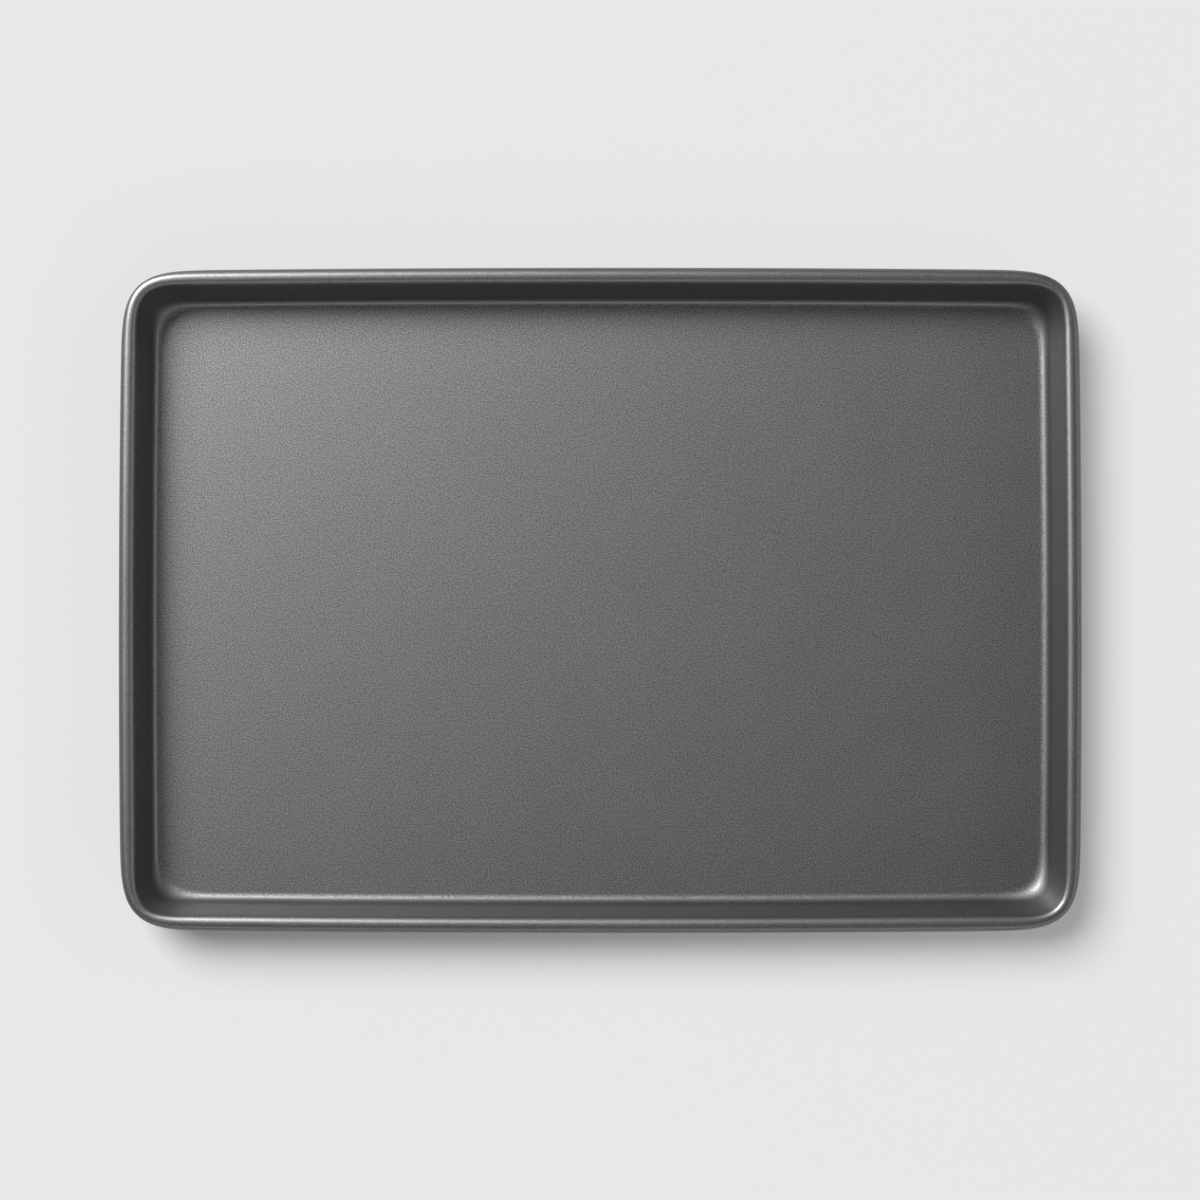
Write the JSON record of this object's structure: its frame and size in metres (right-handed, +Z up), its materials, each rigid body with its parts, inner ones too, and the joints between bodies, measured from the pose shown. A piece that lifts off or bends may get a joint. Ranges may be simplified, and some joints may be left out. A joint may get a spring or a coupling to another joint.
{
  "type": "baking pan",
  "caption": "Shallow rectangular rimmed baking pan of dark non-stick coated sheet steel with flared walls, rounded corners and an edge rolled over a reinforcing wire, for oven baking.",
  "frame": {"origin": "centre of the footprint, on the surface that the pan stands on", "axes": "+X along the long side, +Y along the short side, +Z up out of the open top"},
  "size_m": [0.4404, 0.3044, 0.025],
  "materials": {
    "nonstick_coating": "satin dark pewter-grey non-stick coating with a fine metallic grain, on sheet steel",
    "zinc_wire": "dull drawn wire with a thin zinc plating"
  },
  "bodies": {
    "root": {"pan_tray": "nonstick_coating", "rim_wire": "zinc_wire"}
  },
  "joints": []
}
